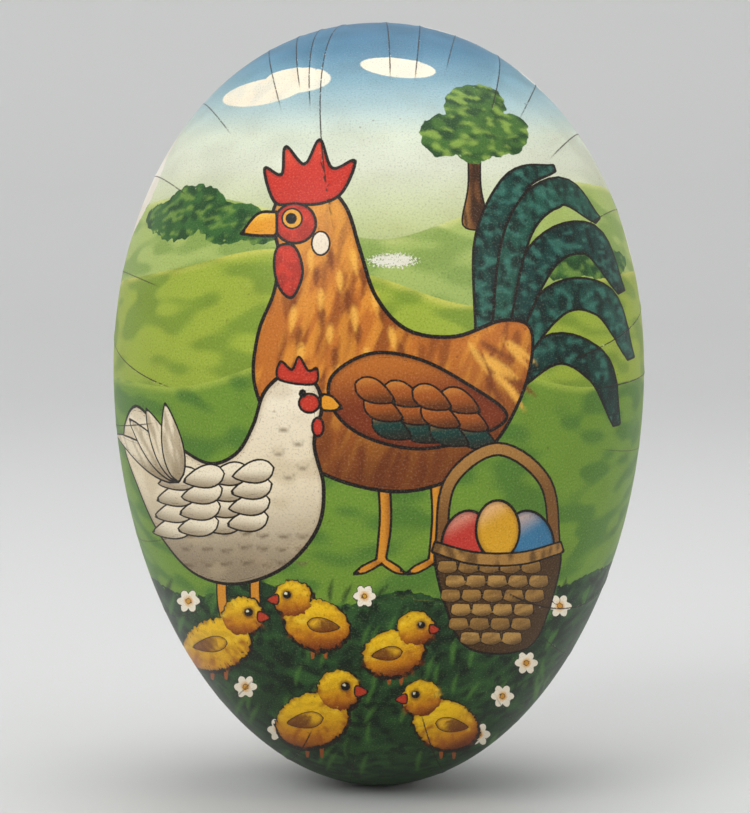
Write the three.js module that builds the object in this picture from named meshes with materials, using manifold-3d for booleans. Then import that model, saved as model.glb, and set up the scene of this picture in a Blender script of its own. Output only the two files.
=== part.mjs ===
// Pressed-card Easter egg: two printed half shells that push together on a collar.
//
// The egg stands on its small end. The tip of that end is the origin, +Z runs up the long axis, and
// the two halves part on the upright plane y = 0, the front half on the -Y side. Millimetres.

import * as THREE from 'three';
import { mergeVertices } from 'three/addons/utils/BufferGeometryUtils.js';
import Module from 'manifold-3d';

const wasm = await Module();
wasm.setup();

// ---- Driving dimensions ----

// The egg's outside.
const LENGTH = 160; // small tip to blunt tip
const DIAMETER = 111; // across the widest ring
const WIDEST_HEIGHT = 87.4; // from the small tip up to the widest ring
const BLUNT_FULLNESS = 2.07; // superellipse exponent above the widest ring, 2 is an ellipse
const SMALL_FULLNESS = 1.96; // superellipse exponent below it

// The wall of each half, from the outside in.
const PRINT_THICKNESS = 0.3; // varnished printed paper
const BOARD_THICKNESS = 1.5; // pressed card
const LINING_THICKNESS = 0.3; // white lining paper
const GLUE_GAP = 0.3; // the paste between two layers
const PARTING_GAP = 0.3; // between the rims of the closed halves

// The collar glued inside the back half.
const COLLAR_THICKNESS = 1.0;
const COLLAR_SEATED = 10; // how deep it sits in the back half
const COLLAR_STANDING = 8; // how far it stands into the front half
const COLLAR_CLEARANCE = 0.3; // from the linings to the collar
const COLLAR_BUTT = 0.8; // between the strip's two ends

// The gummed tape inside the collar, over the butt joint.
const TAPE_THICKNESS = 0.3;
const TAPE_LENGTH = 24; // along the collar
const TAPE_MARGIN = 1.5; // from the tape to each edge of the collar

// How finely the round surfaces are divided.
const RINGS = 20; // from tip to tip
const SIDES = 40; // round the long axis

// ---- Depths of the layers below the egg's outside ----

const BOARD_DEPTH = PRINT_THICKNESS + GLUE_GAP;
const LINING_DEPTH = BOARD_DEPTH + BOARD_THICKNESS + GLUE_GAP;
const WALL_DEPTH = LINING_DEPTH + LINING_THICKNESS;
const COLLAR_DEPTH = WALL_DEPTH + COLLAR_CLEARANCE;
const TAPE_DEPTH = COLLAR_DEPTH + COLLAR_THICKNESS + GLUE_GAP;

// ---- The egg's outline ----

// A point of the outline and its outward normal, at an angle from -90 degrees at the small tip,
// through 0 at the widest ring, to 90 degrees at the blunt tip.
function outlinePoint(angle) {
  const isBlunt = angle > 0;
  const fullness = isBlunt ? BLUNT_FULLNESS : SMALL_FULLNESS;
  const height = isBlunt ? LENGTH - WIDEST_HEIGHT : WIDEST_HEIGHT;
  const radius = DIAMETER / 2;
  const across = Math.max(Math.cos(angle), 0);
  const along = Math.sin(angle);
  const point = new THREE.Vector2(
    radius * across ** (2 / fullness),
    WIDEST_HEIGHT + height * Math.sign(along) * Math.abs(along) ** (2 / fullness),
  );
  const normal = new THREE.Vector2(
    across ** (2 - 2 / fullness) / radius,
    (Math.sign(along) * Math.abs(along) ** (2 - 2 / fullness)) / height,
  );
  return { point, normal: normal.normalize() };
}

// The outline sunk by a depth, from the small end to the blunt one, with both ends on the axis.
function sunkOutline(depth) {
  const outline = [];
  for (let ring = 0; ring <= RINGS; ring += 1) {
    const { point, normal } = outlinePoint(-Math.PI / 2 + (Math.PI * ring) / RINGS);
    const isTip = ring === 0 || ring === RINGS;
    outline.push(new THREE.Vector2(isTip ? 0 : point.x - normal.x * depth, point.y - normal.y * depth));
  }
  return outline;
}

// ---- Solids ----

// A closed solid from a closed geometry, with the seam's and the tips' points merged.
function solidFrom(geometry) {
  geometry.deleteAttribute('normal');
  geometry.deleteAttribute('uv');
  const merged = mergeVertices(geometry, 1e-4);
  const corners = merged.index.array;
  const triangles = [];
  for (let at = 0; at < corners.length; at += 3) {
    const [a, b, c] = corners.slice(at, at + 3);
    const isWhole = a !== b && b !== c && c !== a;
    if (isWhole) triangles.push(a, b, c);
  }
  return new wasm.Manifold(
    new wasm.Mesh({
      numProp: 3,
      vertProperties: new Float32Array(merged.attributes.position.array),
      triVerts: new Uint32Array(triangles),
    }),
  );
}

// The whole egg, sunk by a depth all over.
function sunkEgg(depth) {
  const geometry = new THREE.LatheGeometry(sunkOutline(depth), SIDES);
  geometry.rotateX(Math.PI / 2);
  return solidFrom(geometry);
}

// The egg-shaped layer between two depths.
function layer(depth, thickness) {
  return sunkEgg(depth).subtract(sunkEgg(depth + thickness));
}

// A block between two corners.
function block(low, high) {
  const size = new THREE.Vector3().subVectors(high, low);
  const centre = new THREE.Vector3().addVectors(low, high).multiplyScalar(0.5);
  const geometry = new THREE.BoxGeometry(size.x, size.y, size.z);
  geometry.translate(centre.x, centre.y, centre.z);
  return solidFrom(geometry);
}

// The space on each side of the parting plane, wider than the egg.
const FRONT_SPACE = block(
  new THREE.Vector3(-DIAMETER, -DIAMETER, -LENGTH),
  new THREE.Vector3(DIAMETER, -PARTING_GAP / 2, 2 * LENGTH),
);
const BACK_SPACE = block(
  new THREE.Vector3(-DIAMETER, PARTING_GAP / 2, -LENGTH),
  new THREE.Vector3(DIAMETER, DIAMETER, 2 * LENGTH),
);

// The collar: a band of the wall's inside, open at its butt joint on the +X side.
function collarSolid() {
  const band = block(
    new THREE.Vector3(-DIAMETER, -COLLAR_STANDING, -LENGTH),
    new THREE.Vector3(DIAMETER, COLLAR_SEATED, 2 * LENGTH),
  );
  const butt = block(
    new THREE.Vector3(0, -DIAMETER, WIDEST_HEIGHT - COLLAR_BUTT / 2),
    new THREE.Vector3(DIAMETER, DIAMETER, WIDEST_HEIGHT + COLLAR_BUTT / 2),
  );
  return layer(COLLAR_DEPTH, COLLAR_THICKNESS).intersect(band).subtract(butt);
}

// The tape: a patch just inside the collar, centred on the butt joint.
function tapeSolid() {
  const patch = block(
    new THREE.Vector3(0, TAPE_MARGIN - COLLAR_STANDING, WIDEST_HEIGHT - TAPE_LENGTH / 2),
    new THREE.Vector3(DIAMETER, COLLAR_SEATED - TAPE_MARGIN, WIDEST_HEIGHT + TAPE_LENGTH / 2),
  );
  return layer(TAPE_DEPTH, TAPE_THICKNESS).intersect(patch);
}

// ---- Materials ----

function paper(colour, roughness) {
  return new THREE.MeshStandardMaterial({ color: colour, roughness, metalness: 0 });
}

const FRONT_PRINT_PAPER = paper('#8a8a55', 0.35);
const BACK_PRINT_PAPER = paper('#87a05c', 0.35);
const GREY_BOARD = paper('#a39a86', 0.9);
const LINING_PAPER = paper('#e6dfcd', 0.8);
const COLLAR_CARD = paper('#d8cdb2', 0.85);
const TAPE_PAPER = paper('#c7a878', 0.7);

// ---- The assembly ----

function piece(name, solid, material) {
  const { vertProperties, triVerts } = solid.getMesh();
  const geometry = new THREE.BufferGeometry();
  geometry.setAttribute('position', new THREE.BufferAttribute(new Float32Array(vertProperties), 3));
  geometry.setIndex(new THREE.BufferAttribute(new Uint32Array(triVerts), 1));
  geometry.computeVertexNormals();
  const mesh = new THREE.Mesh(geometry, material);
  mesh.name = name;
  return mesh;
}

// One half: its printed paper, its board and its lining, cut off at the parting plane.
function halfEgg(side, space, printPaper) {
  const half = new THREE.Group();
  half.add(piece(`${side}_print`, layer(0, PRINT_THICKNESS).intersect(space), printPaper));
  half.add(piece(`${side}_shell`, layer(BOARD_DEPTH, BOARD_THICKNESS).intersect(space), GREY_BOARD));
  half.add(piece(`${side}_lining`, layer(LINING_DEPTH, LINING_THICKNESS).intersect(space), LINING_PAPER));
  return half;
}

const egg = new THREE.Group();
egg.add(halfEgg('front', FRONT_SPACE, FRONT_PRINT_PAPER));
egg.add(halfEgg('back', BACK_SPACE, BACK_PRINT_PAPER));
egg.add(piece('collar', collarSolid(), COLLAR_CARD));
egg.add(piece('collar_splice', tapeSolid(), TAPE_PAPER));

export default egg;
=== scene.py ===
"""Printed card Easter egg: two papered half shells on a collar, laid out as an add-on and run as a script."""

import math

import bmesh
import bpy
import numpy as np
from bpy.props import FloatProperty, FloatVectorProperty, IntProperty, PointerProperty
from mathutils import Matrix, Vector


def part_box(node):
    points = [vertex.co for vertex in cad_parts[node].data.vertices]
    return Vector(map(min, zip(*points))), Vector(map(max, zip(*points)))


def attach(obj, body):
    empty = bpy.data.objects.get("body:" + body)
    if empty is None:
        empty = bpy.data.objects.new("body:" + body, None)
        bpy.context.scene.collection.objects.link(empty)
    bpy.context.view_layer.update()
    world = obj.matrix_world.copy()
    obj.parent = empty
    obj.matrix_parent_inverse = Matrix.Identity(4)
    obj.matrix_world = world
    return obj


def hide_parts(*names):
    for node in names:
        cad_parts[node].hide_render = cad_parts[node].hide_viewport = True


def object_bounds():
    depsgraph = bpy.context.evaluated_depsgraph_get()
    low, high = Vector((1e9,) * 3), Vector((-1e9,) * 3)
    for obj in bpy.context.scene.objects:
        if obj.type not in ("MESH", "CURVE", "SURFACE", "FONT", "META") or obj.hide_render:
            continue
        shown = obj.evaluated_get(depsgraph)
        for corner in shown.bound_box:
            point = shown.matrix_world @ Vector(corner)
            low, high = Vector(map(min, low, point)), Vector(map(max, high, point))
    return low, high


bl_info = {
    "name": "Printed Card Easter Egg",
    "version": (1, 0, 0),
    "blender": (4, 5, 0),
    "location": "View3D > Sidebar > Egg",
    "description": "Builds a two-part card Easter egg with its printed paper, linings and collar",
    "category": "Object",
}

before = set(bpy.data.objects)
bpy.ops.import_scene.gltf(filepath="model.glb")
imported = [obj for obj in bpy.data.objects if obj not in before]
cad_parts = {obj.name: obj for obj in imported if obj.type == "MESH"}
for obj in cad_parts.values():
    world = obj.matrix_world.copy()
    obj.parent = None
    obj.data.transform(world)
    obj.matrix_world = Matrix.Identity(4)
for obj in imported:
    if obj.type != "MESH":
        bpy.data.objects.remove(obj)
CAD_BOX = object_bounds()

# ---------------------------------------------------------------- the egg's sizes, from the frame

MM = 0.001
RADIUS = (CAD_BOX[1].x - CAD_BOX[0].x) / 2
LENGTH = CAD_BOX[1].z - CAD_BOX[0].z
WIDEST = sum(corner.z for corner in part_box("collar_splice")) / 2
RIM = -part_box("front_print")[1].y  # from the parting plane to each half's rim
BLUNT_FULLNESS = 2.07
SMALL_FULLNESS = 1.96
FRONT, BACK = -1, 1  # which side of the parting plane a half is on


def depth_of(node):
    """How far a node's outside lies below the egg's outside."""
    low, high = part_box(node)
    return RADIUS - (high.x - low.x) / 2


BOARD_DEPTH = depth_of("front_shell")
LINING_DEPTH = depth_of("front_lining")
COLLAR_LOW, COLLAR_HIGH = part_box("collar")
COLLAR_DEPTH = RADIUS + COLLAR_LOW.x
TAPE_LOW, TAPE_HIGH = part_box("collar_splice")
TAPE_DEPTH = RADIUS - TAPE_HIGH.x

# The camera, and the place from which the printed picture was drawn.
VIEW_DISTANCE = 0.65
VIEW_TILT = math.radians(4.0)
VIEW_TARGET = Vector((-0.0008, 0.0, 0.0799))
VIEW_WIDTH = 0.1708  # what the camera takes in on its long side, at the target


# ---------------------------------------------------------------- settings


def colour_setting(name, description, default):
    return FloatVectorProperty(
        name=name, description=description, default=default, subtype="COLOR", size=3, min=0, max=1
    )


class EggSettings(bpy.types.PropertyGroup):
    """Sizes and colours that a user would change."""

    skin_detail: IntProperty(
        name="Paper detail", description="Subdivisions of the printed paper", default=8, min=5, max=8
    )
    inside_detail: IntProperty(
        name="Inside detail", description="Subdivisions of boards and linings", default=6, min=4, max=7
    )
    paper: FloatProperty(
        name="Paper thickness", description="Printed paper", default=0.28 * MM, unit="LENGTH"
    )
    board: FloatProperty(
        name="Board thickness", description="Pressed card", default=1.5 * MM, unit="LENGTH"
    )
    lining: FloatProperty(
        name="Lining thickness", description="Lining paper", default=0.28 * MM, unit="LENGTH"
    )
    collar: FloatProperty(
        name="Collar thickness", description="Collar card", default=1.0 * MM, unit="LENGTH"
    )
    collar_gap: FloatProperty(
        name="Collar gap", description="Between the collar's ends", default=0.8 * MM, unit="LENGTH"
    )
    tape: FloatProperty(
        name="Tape thickness", description="Gummed tape", default=0.28 * MM, unit="LENGTH"
    )
    fold_height: FloatProperty(
        name="Fold height", description="How far a pleat stands up", default=0.16 * MM, unit="LENGTH"
    )
    bare_paper: colour_setting("Bare paper", "Where the print is worn off", (0.84, 0.80, 0.73))
    board_colour: colour_setting("Board", "Pressed grey card", (0.33, 0.31, 0.26))
    lining_colour: colour_setting("Lining", "Lining paper", (0.80, 0.74, 0.60))
    collar_colour: colour_setting("Collar", "Straw card of the collar", (0.52, 0.39, 0.21))
    tape_colour: colour_setting("Tape", "Gummed tape", (0.37, 0.21, 0.10))
    floor_colour: colour_setting("Floor", "The sweep under the egg", (0.66, 0.66, 0.648))
    wall_colour: colour_setting("Wall", "The sweep behind the egg", (0.80, 0.80, 0.785))
    room_colour: colour_setting("Room", "Light from all round", (0.95, 0.97, 1.0))
    room_light: FloatProperty(name="Room light", description="Strength of that light", default=0.9, min=0)
    lamp_power: FloatProperty(name="Lamps", description="Strength of the lamps", default=1.0, min=0)


# ---------------------------------------------------------------- the egg's shape


def reach_to_outline(across, up):
    """Distance from the widest ring's centre to the outline, in the direction of each point."""
    turn = np.arctan2(up, across)
    high = up > 0
    fullness = np.where(high, BLUNT_FULLNESS, SMALL_FULLNESS)
    height = np.where(high, LENGTH - WIDEST, WIDEST)
    parts = np.abs(np.cos(turn) / RADIUS) ** fullness + np.abs(np.sin(turn) / height) ** fullness
    return parts ** (-1 / fullness)


def on_egg(ball, depth):
    """Where points of a unit ball lie on the egg, sunk by a depth."""
    along = np.clip(ball[:, 2], -1, 1)
    across = np.sqrt(1 - along**2)
    high = along > 0
    fullness = np.where(high, BLUNT_FULLNESS, SMALL_FULLNESS)
    height = np.where(high, LENGTH - WIDEST, WIDEST)
    out = across ** (2 - 2 / fullness) / RADIUS
    up = np.sign(along) * np.abs(along) ** (2 - 2 / fullness) / height
    size = np.hypot(out, up)
    ring = RADIUS * across ** (2 / fullness) - depth * out / size
    place = WIDEST + height * np.sign(along) * np.abs(along) ** (2 / fullness) - depth * up / size
    turn = ring / np.maximum(across, 1e-9)
    return np.stack([ball[:, 0] * turn, ball[:, 1] * turn, place], axis=1)


def corners_of(vertices):
    return np.array([v.co for v in vertices], float).reshape(-1, 3)


def move_to(vertices, places):
    for vertex, place in zip(vertices, places):
        vertex.co = place


def half_ball(bm, detail, side):
    """Adds half a unit ball on one side of the parting plane."""
    made = bmesh.ops.create_icosphere(bm, subdivisions=detail, radius=1.0)["verts"]
    edges = {edge for vertex in made for edge in vertex.link_edges}
    faces = {face for vertex in made for face in vertex.link_faces}
    cut = bmesh.ops.bisect_plane(
        bm,
        geom=made + list(edges) + list(faces),
        dist=1e-5,
        plane_co=(0, 0, 0),
        plane_no=(0, side, 0),
        clear_inner=True,
    )
    rim = [item for item in cut["geom_cut"] if isinstance(item, bmesh.types.BMVert)]
    bmesh.ops.remove_doubles(bm, verts=rim, dist=0.6 / 2**detail)


def close_rim(bm, number_of):
    """Joins the open edges of skins 1 and 2 with triangles, going round both in step."""
    rims = []
    for skin in (1, 2):
        rim = [vertex for vertex in bm.verts if vertex[number_of] == skin and vertex.is_boundary]
        turns = [math.atan2(vertex.co.z - WIDEST, vertex.co.x) for vertex in rim]
        order = sorted(range(len(rim)), key=turns.__getitem__)
        rims.append([(turns[at], rim[at]) for at in order])
        rims[-1].append((turns[order[0]] + math.tau, rim[order[0]]))
    outer, inner = rims
    at, beside = 0, 0
    while at < len(outer) - 1 or beside < len(inner) - 1:
        ended = beside == len(inner) - 1
        if ended or (at < len(outer) - 1 and outer[at + 1][0] <= inner[beside + 1][0]):
            bm.faces.new((outer[at][1], outer[at + 1][1], inner[beside][1]))
            at += 1
        else:
            bm.faces.new((outer[at][1], inner[beside + 1][1], inner[beside][1]))
            beside += 1


def half_shell(side, outside, inside):
    """A closed half shell. Each skin is its depth, its fineness, and what to add to its depth, or None.

    Gives the mesh and, for each skin, its vertices' numbers and where they lie on the egg's outside.
    """
    bm = bmesh.new()
    number_of = bm.verts.layers.int.new("skin")
    surface_of = bm.verts.layers.float_vector.new("surface")
    for number, (depth, fineness, wave) in enumerate((outside, inside), start=1):
        half_ball(bm, fineness, side)
        skin = [vertex for vertex in bm.verts if vertex[number_of] == 0]
        ball = corners_of(skin)
        ball /= np.linalg.norm(ball, axis=1)[:, None]
        surface = on_egg(ball, 0.0)
        place = on_egg(ball, depth + (wave(surface) if wave else 0.0))
        place[:, 1] = side * np.maximum(side * place[:, 1], RIM)
        move_to(skin, place)
        for vertex, spot in zip(skin, surface):
            vertex[number_of] = number
            vertex[surface_of] = spot
    close_rim(bm, number_of)
    bmesh.ops.recalc_face_normals(bm, faces=bm.faces[:])
    numbers = np.array([vertex[number_of] for vertex in bm.verts])
    surface = np.array([vertex[surface_of] for vertex in bm.verts])
    bm.verts.layers.int.remove(number_of)
    bm.verts.layers.float_vector.remove(bm.verts.layers.float_vector["surface"])
    return bm, [(np.flatnonzero(numbers == skin), surface[numbers == skin]) for skin in (1, 2)]


def finish_piece(bm, name, body, nodes):
    """Turns a bmesh into a piece that rides on a body and stands for CAD nodes."""
    if not bm.faces:
        raise RuntimeError(f"{name} has no faces")
    mesh = bpy.data.meshes.new(name)
    bm.to_mesh(mesh)
    bm.free()
    mesh.shade_smooth()
    mesh.set_sharp_from_angle(angle=math.radians(40))
    piece = bpy.data.objects.new(name, mesh)
    bpy.context.scene.collection.objects.link(piece)
    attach(piece, body)
    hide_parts(*nodes)
    return piece


def write_attribute(mesh, name, kind, values):
    layer = mesh.attributes.new(name, kind, "POINT")
    key = {"FLOAT": "value", "FLOAT_VECTOR": "vector", "FLOAT_COLOR": "color"}[kind]
    layer.data.foreach_set(key, np.ascontiguousarray(values, np.float32).ravel())


# ---------------------------------------------------------------- the sheet of paper, laid flat


def flat_place(across, up):
    """Where points of a half lie on its paper before it was pressed, both in millimetres."""
    reach = np.hypot(across, up)
    share = np.clip(reach * MM / reach_to_outline(across, up), 0, 1)
    stretch = np.where(share > 1e-6, np.arcsin(share) / np.maximum(share, 1e-6), 1.0)
    return np.stack([across * stretch, up * stretch], axis=1)


def seen_to_flat(seen):
    """Turns points as an eye in front sees them, millimetres from the small tip, into flat ones."""
    seen = np.asarray(seen, float) * MM
    tilt_across, tilt_up = math.sin(VIEW_TILT), math.cos(VIEW_TILT)
    out = np.full(len(seen), -0.9 * RADIUS)
    height = seen[:, 1]
    for _ in range(8):
        depth = VIEW_DISTANCE + out * tilt_up - (height - VIEW_TARGET.z) * tilt_across
        across = VIEW_TARGET.x + (seen[:, 0] - VIEW_TARGET.x) * depth / VIEW_DISTANCE
        rise = (seen[:, 1] - VIEW_TARGET.z) * depth / VIEW_DISTANCE
        height = VIEW_TARGET.z + (rise - out * tilt_across) / tilt_up
        share = np.hypot(across, height - WIDEST) / reach_to_outline(across, height - WIDEST)
        out = -RADIUS * np.sqrt(np.maximum(1 - share**2, 0))
    return flat_place(across / MM, (height - WIDEST) / MM)


# ---------------------------------------------------------------- drawing


def tint(code):
    """A colour written as #rrggbb, as linear light."""
    parts = np.array([int(code[i : i + 2], 16) for i in (1, 3, 5)]) / 255
    return np.where(parts <= 0.04045, parts / 12.92, ((parts + 0.055) / 1.055) ** 2.4)


def pairs(numbers):
    return np.array(numbers, float).reshape(-1, 2)


def through(points, closed, steps=7):
    """A smooth curve through points."""
    if closed:
        before, after = np.roll(points, 1, axis=0), np.roll(points, -1, axis=0)
        later = np.roll(points, -2, axis=0)
    else:
        padded = np.vstack([2 * points[0] - points[1], points, 2 * points[-1] - points[-2]])
        before, after, later = padded[:-3], padded[2:-1], padded[3:]
        points = padded[1:-2]
    share = (np.arange(steps) / steps)[None, :, None]
    a, b, c, d = (group[:, None, :] for group in (before, points, after, later))
    curve = 0.5 * (
        2 * b
        + (c - a) * share
        + (2 * a - 5 * b + 4 * c - d) * share**2
        + (3 * b - a - 3 * c + d) * share**3
    )
    curve = curve.reshape(-1, 2)
    return curve if closed else np.vstack([curve, c[-1]])


def smooth(*numbers):
    """A closed smooth outline through x, z pairs."""
    return through(pairs(numbers), closed=True)


def run(*numbers):
    """An open smooth run through x, z pairs."""
    return through(pairs(numbers), closed=False)


def loop(*runs):
    """A closed outline of runs that meet at corners."""
    return np.vstack(runs)


def sharp(*numbers):
    """A closed outline with straight sides."""
    return pairs(numbers)


def stroke(width, *numbers, start=0.2, end=0.1):
    """A brush stroke along x, z pairs, narrower at its start and end."""
    line = run(*numbers)
    heading = np.gradient(line, axis=0)
    heading /= np.maximum(np.linalg.norm(heading, axis=1), 1e-9)[:, None]
    across = np.stack([-heading[:, 1], heading[:, 0]], axis=1)
    share = np.linspace(0, 1, len(line))
    body = np.interp(share, [0, 0.3, 0.65, 1], [start, 1, 1, end])
    half = (body * width / 2)[:, None]
    return np.vstack([line + across * half, (line - across * half)[::-1]])


def turned(shape, x, z, angle):
    """A shape turned by an angle in degrees and moved to x, z."""
    turn = math.radians(angle)
    spin = np.array([[math.cos(turn), math.sin(turn)], [-math.sin(turn), math.cos(turn)]])
    return shape @ spin + np.array([x, z])


def oval(x, z, across, up, angle=0.0):
    turns = np.linspace(0, 2 * math.pi, 28, endpoint=False)
    return turned(np.stack([across * np.cos(turns), up * np.sin(turns)], axis=1), x, z, angle)


def drop(x, z, length, width, angle, point=1.0):
    """A feather or leaf from its root at x, z, round there and pointed at the tip."""
    share = np.linspace(0, 1, 12)
    half = width / 2 * np.sin(math.pi * share**0.8) ** 0.75 * (1 - 0.25 * point * share)
    side = np.stack([share * length, half], axis=1)
    return turned(np.vstack([side, (side * [1, -1])[-2:0:-1]]), x, z, angle)


def crescent(x, z, size, thickness, angle, span=150):
    """A moon-shaped mark whose horns point along the angle."""
    turns = np.radians(np.linspace(-span / 2, span / 2, 12))
    outer = np.stack([-size * np.cos(turns), size * np.sin(turns)], axis=1)
    thin = thickness * np.cos(turns * 90 / (span / 2)).clip(0.05)[:, None]
    inner = outer * (1 - thin / size)
    return turned(np.vstack([outer, inner[::-1]]), x, z, angle)


GRAIN = np.random.default_rng(7).random((128, 128))


def lattice(spot):
    """Smooth values from 0 to 1 between the points of a square grid of random numbers."""
    cell = np.floor(spot).astype(int)
    part = spot - cell
    part = part * part * (3 - 2 * part)
    x0, z0 = cell[:, 0] % 128, cell[:, 1] % 128
    x1, z1 = (x0 + 1) % 128, (z0 + 1) % 128
    low = GRAIN[x0, z0] * (1 - part[:, 0]) + GRAIN[x1, z0] * part[:, 0]
    high = GRAIN[x0, z1] * (1 - part[:, 0]) + GRAIN[x1, z1] * part[:, 0]
    return low * (1 - part[:, 1]) + high * part[:, 1]


def cloudiness(where, size, seed=0.0):
    """Smooth unevenness from 0 to 1 with blotches of a size, or of two sizes along x and z.

    Two grids laid across each other keep the blotches from looking square.
    """
    spot = where / np.asarray(size, float) + seed * 17.3
    crossed = spot @ np.array([[0.8, 0.6], [-0.6, 0.8]]) + 31.7
    return np.clip(0.5 + 0.75 * (lattice(spot) + lattice(crossed) - 1), 0, 1)


def ease(low, high, value):
    share = np.clip((value - low) / (high - low), 0, 1)
    return share * share * (3 - 2 * share)


def rim(code, width, strength=1.0):
    """A wash that darkens or lightens a shape along its edge."""
    return lambda paint, where, inside, mid, half: (
        tint(code),
        strength * (1 - ease(0, width, inside)),
    )


def side(code, angle, start=0.0, end=1.0, strength=1.0):
    """A wash over one side of a shape, growing in the direction of the angle."""
    turn = math.radians(angle)
    heading = np.array([math.cos(turn), math.sin(turn)])
    return lambda paint, where, inside, mid, half: (
        tint(code),
        strength * ease(start, end, ((where - mid) / half) @ heading),
    )


def blotch(code, size, strength=0.5, seed=0.0, cut=0.4):
    """A wash in soft blotches."""
    return lambda paint, where, inside, mid, half: (
        tint(code),
        strength * ease(cut, cut + 0.35, cloudiness(where, size, seed)),
    )


def hairs(code, angle, length, width, strength=0.5, seed=0.0):
    """A wash in fine streaks that run along an angle."""
    turn = math.radians(angle)
    spin = np.array([[math.cos(turn), -math.sin(turn)], [math.sin(turn), math.cos(turn)]])
    return lambda paint, where, inside, mid, half: (
        tint(code),
        strength * ease(0.45, 0.7, cloudiness(where @ spin, (length, width), seed)),
    )


def distance_to(outline, where):
    """Distance from each point to a closed outline, less than nothing inside it."""
    following = np.roll(outline, -1, axis=0)
    edge = following - outline
    length = np.maximum((edge**2).sum(1), 1e-12)
    offset = where[:, None, :] - outline[None]
    share = np.clip((offset * edge).sum(2) / length, 0, 1)
    gap = offset - share[..., None] * edge
    distance = np.sqrt((gap**2).sum(2).min(1))
    low, high = outline[None, :, 1] <= where[:, None, 1], following[None, :, 1] <= where[:, None, 1]
    turn = edge[None, :, 0] * offset[..., 1] - edge[None, :, 1] * offset[..., 0]
    wraps = (low & ~high & (turn > 0)).sum(1) - (~low & high & (turn < 0)).sum(1)
    return np.where(wraps != 0, -distance, distance)


class Picture:
    """The printed picture on one half. Each plate holds shapes that keep clear of one another.

    Deep inside a shape its colour goes into the ground, so that later shapes start there again.
    """

    FAR = 6.0
    NEAR = 1.1
    MOST = 38  # plates that one material can hold
    UNDER, DEEP, DEEPEST = -0.5, -0.75, -1.45

    def __init__(self, flat):
        self.flat = flat
        self.stack = np.zeros(len(flat), int)
        self.edges = []
        self.paints = []

    def plate(self, level):
        while len(self.edges) <= level:
            self.edges.append(np.full(len(self.flat), self.FAR))
            self.paints.append(np.zeros((len(self.flat), 4)))
        return self.edges[level], self.paints[level]

    def lay(self, code, shapes, *washes, line=0.0, soft=1.0, ragged=0.0, grain=1.2):
        """Prints shapes in one colour with washes over it. line is the outline's width."""
        shapes = shapes if isinstance(shapes, list) else [shapes]
        found = []
        for shape in shapes:
            outline = seen_to_flat(shape)
            margin = 2.5 + ragged + soft
            low, high = outline.min(0) - margin, outline.max(0) + margin
            picked = np.flatnonzero(((self.flat > low) & (self.flat < high)).all(1))
            where = self.flat[picked]
            gap = distance_to(outline, where)
            if ragged:
                gap += ragged * (cloudiness(where, grain, 3.0) - 0.5) * 2
            paint = np.tile(tint(code), (len(picked), 1))
            mid, half = (low + high) / 2, np.maximum((high - low) / 2 - margin, 0.5)
            for wash in washes:
                colour, share = wash(paint, where, -gap, mid, half)
                paint += (colour - paint) * np.asarray(share)[:, None]
            found.append((picked, gap, paint))
        levels = [min(self.stack[picked[gap < self.NEAR]].max(initial=0), self.MOST - 1)
                  for picked, gap, _ in found]
        for level in sorted(set(levels)):
            edge, colours = self.plate(level)
            drawn = np.full(len(self.flat), self.FAR * soft)
            for own, (picked, gap, paint) in zip(levels, found):
                nearer = gap < drawn[picked]
                if own == level:
                    spots = picked[nearer]
                    drawn[spots] = gap[nearer]
                    nearest = gap / soft < edge[picked]
                    edge[picked[nearest]] = gap[nearest] / soft
                    colours[picked[nearest], :3] = paint[nearest]
                    colours[picked[nearest], 3] = np.where(gap[nearest] > -1.0, line / 2, 0)
            self.stack[drawn < self.NEAR] = level + 1
            if soft <= 3:
                under = drawn < self.UNDER
                self.ground[under] = colours[under, :3]
                for lower in self.edges[:level]:
                    lower[drawn < self.DEEP] = self.FAR
                edge[drawn < self.DEEPEST] = self.FAR
                self.stack[drawn < self.DEEPEST] = 0

    def dab(self, code, shapes, strength=0.85, soft=0.8):
        """Paints soft shapes into whatever is on top there."""
        for shape in shapes if isinstance(shapes, list) else [shapes]:
            outline = seen_to_flat(shape)
            low, high = outline.min(0) - soft, outline.max(0) + soft
            picked = np.flatnonzero(((self.flat > low) & (self.flat < high)).all(1))
            gap = distance_to(outline, self.flat[picked])
            share = (strength * (1 - ease(-soft / 2, soft / 2, gap)))[:, None]
            for paint in (self.ground, *self.paints):
                paint[picked, :3] += (tint(code) - paint[picked, :3]) * share


# ---------------------------------------------------------------- what the pictures share, and the front


def print_ground(picture, heights, colours):
    """The sky or ground under every shape: colours blended up the egg."""
    levels = [height for height, _ in colours]
    stops = np.array([tint(code) for _, code in colours])
    ground = np.stack([np.interp(heights, levels, stops[:, i]) for i in range(3)], axis=1)
    patchy = cloudiness(picture.flat, (9.0, 5.0), 1.0)[:, None]
    picture.ground = ground * (0.93 + 0.14 * patchy)


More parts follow.
